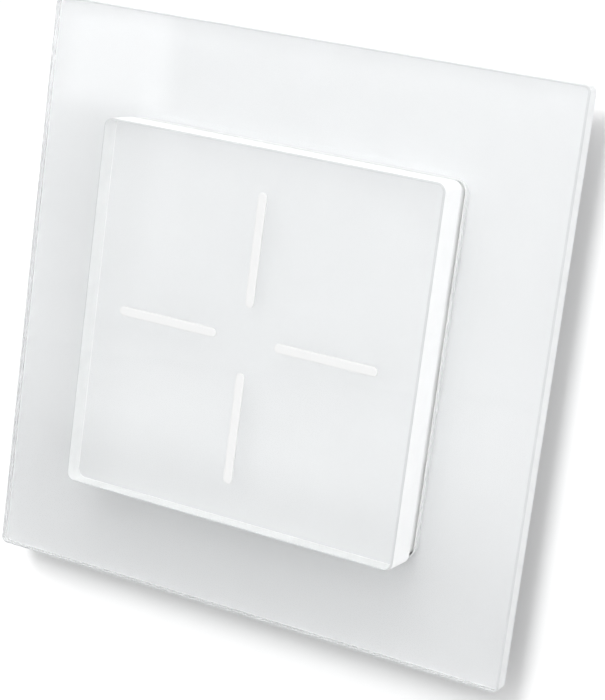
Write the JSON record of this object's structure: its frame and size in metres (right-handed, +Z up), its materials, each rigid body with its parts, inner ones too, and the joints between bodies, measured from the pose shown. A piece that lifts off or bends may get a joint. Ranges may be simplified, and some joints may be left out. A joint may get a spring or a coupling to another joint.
{
  "type": "touch light switch",
  "caption": "Flush wall touch switch: a white-backed glass frame, a proud glass touch block with an open-cross mark, and a relay insert with spreader claws.",
  "frame": {"origin": "centre of the box screws, on the face of the wall", "axes": "+X to the right, +Z up, +Y into the wall, so the front faces -Y"},
  "size_m": [0.086, 0.0378, 0.086],
  "materials": {
    "frame_glass": "clear polished glass with seamed edges",
    "touch_glass": "clear polished glass with seamed edges",
    "white_backing": "white back coating seen through the glass",
    "white_enamel": "fired white enamel",
    "white_plastic": "fine moulded texture",
    "light_grey_plastic": "fine moulded texture",
    "grey_plastic": "fine moulded texture",
    "black_plastic": "moulded",
    "cream_plastic": "moulded",
    "blue_plastic": "moulded",
    "yellow_plastic": "potted box",
    "black_resin": "moulded resin",
    "ceramic_chip": "fired",
    "green_board": "solder mask",
    "copper": "bare copper",
    "brass": "plain",
    "zinc_steel": "bright zinc plate",
    "spring_steel": "plain",
    "screw_steel": "yellow passivated",
    "relay_iron": "plain",
    "ferrite": "sintered"
  },
  "bodies": {
    "insert": {"support_ring": "zinc_steel", "frame_glass": "frame_glass", "frame_film": "white_backing", "frame_carrier": "white_plastic", "claw_pins": "zinc_steel", "insert_housing": "light_grey_plastic", "insert_lid": "light_grey_plastic", "housing_screws": "screw_steel", "power_board": "green_board", "board_socket": "black_plastic", "relay_base": "black_plastic", "relay_yoke": "relay_iron", "relay_core": "relay_iron", "relay_bobbin": "cream_plastic", "relay_coil": "copper", "relay_contacts": "brass", "relay_cover": "blue_plastic", "film_capacitor": "yellow_plastic", "smoothing_capacitors": "black_plastic", "varistor": "blue_plastic", "fuse": "black_resin", "choke": "ferrite", "power_chips": "black_resin", "terminal_block": "light_grey_plastic", "terminal_bars": "brass"},
    "touch_unit": {"touch_glass": "touch_glass", "touch_film": "white_backing", "touch_marks": "white_enamel", "touch_carrier": "white_plastic", "sensor_board": "green_board", "touch_pads": "copper", "touch_controller": "black_resin", "sensor_passives": "ceramic_chip", "plug_body": "black_plastic", "plug_pins": "brass", "sensor_cover": "grey_plastic", "grip_springs": "spring_steel"},
    "left_claw": {"left_claw": "zinc_steel"},
    "right_claw": {"right_claw": "zinc_steel"},
    "left_claw_screw": {"left_claw_screw": "screw_steel"},
    "right_claw_screw": {"right_claw_screw": "screw_steel"},
    "relay_armature": {"relay_armature": "relay_iron", "relay_leaf": "brass"},
    "terminal_screw_left": {"terminal_screw_left": "screw_steel"},
    "terminal_clamp_left": {"terminal_clamp_left": "brass"},
    "terminal_screw_middle": {"terminal_screw_middle": "screw_steel"},
    "terminal_clamp_middle": {"terminal_clamp_middle": "brass"},
    "terminal_screw_right": {"terminal_screw_right": "screw_steel"},
    "terminal_clamp_right": {"terminal_clamp_right": "brass"}
  },
  "joints": [
    {"name": "touch_unit_pull", "type": "slide", "parent": "insert", "child": "touch_unit", "axis": [0, -1, 0], "range_m": [0, 0.01]},
    {"name": "left_claw_screw_turn", "type": "hinge", "parent": "insert", "child": "left_claw_screw", "pos_m": [-0.02445, 0, 0], "axis": [0, 1, 0], "range_deg": [0, 1236]},
    {"name": "left_claw_swing", "type": "hinge", "parent": "insert", "child": "left_claw", "pos_m": [-0.0209, 0.003, 0], "axis": [0, 0, 1], "range_deg": [0, 28]},
    {"name": "right_claw_screw_turn", "type": "hinge", "parent": "insert", "child": "right_claw_screw", "pos_m": [0.02445, 0, 0], "axis": [0, 1, 0], "range_deg": [0, 1236]},
    {"name": "right_claw_swing", "type": "hinge", "parent": "insert", "child": "right_claw", "pos_m": [0.0209, 0.003, 0], "axis": [0, 0, -1], "range_deg": [0, 28]},
    {"name": "relay_armature_tip", "type": "hinge", "parent": "insert", "child": "relay_armature", "pos_m": [-0.0105, 0.01915, -0.0065], "axis": [1, 0, 0], "range_deg": [0, 5], "stiffness_Nm_per_rad": 0.004, "springref_deg": -2.86},
    {"name": "terminal_screw_left_turn", "type": "hinge", "parent": "insert", "child": "terminal_screw_left", "pos_m": [-0.007, 0.02225, -0.0179], "axis": [0, -1, 0], "range_deg": [0, 1800]},
    {"name": "terminal_clamp_left_lift", "type": "slide", "parent": "insert", "child": "terminal_clamp_left", "axis": [0, 1, 0], "range_m": [0, 0.0025]},
    {"name": "terminal_screw_middle_turn", "type": "hinge", "parent": "insert", "child": "terminal_screw_middle", "pos_m": [0, 0.02225, -0.0179], "axis": [0, -1, 0], "range_deg": [0, 1800]},
    {"name": "terminal_clamp_middle_lift", "type": "slide", "parent": "insert", "child": "terminal_clamp_middle", "axis": [0, 1, 0], "range_m": [0, 0.0025]},
    {"name": "terminal_screw_right_turn", "type": "hinge", "parent": "insert", "child": "terminal_screw_right", "pos_m": [0.007, 0.02225, -0.0179], "axis": [0, -1, 0], "range_deg": [0, 1800]},
    {"name": "terminal_clamp_right_lift", "type": "slide", "parent": "insert", "child": "terminal_clamp_right", "axis": [0, 1, 0], "range_m": [0, 0.0025]}
  ],
  "couplings": [
    {"joint": "left_claw_swing", "follows": "left_claw_screw_turn", "ratio": 0.02265},
    {"joint": "right_claw_swing", "follows": "right_claw_screw_turn", "ratio": 0.02265},
    {"joint": "terminal_screw_left_turn", "follows": "terminal_clamp_left_lift", "rad_per_m": 12566},
    {"joint": "terminal_screw_middle_turn", "follows": "terminal_clamp_middle_lift", "rad_per_m": 12566},
    {"joint": "terminal_screw_right_turn", "follows": "terminal_clamp_right_lift", "rad_per_m": 12566}
  ]
}
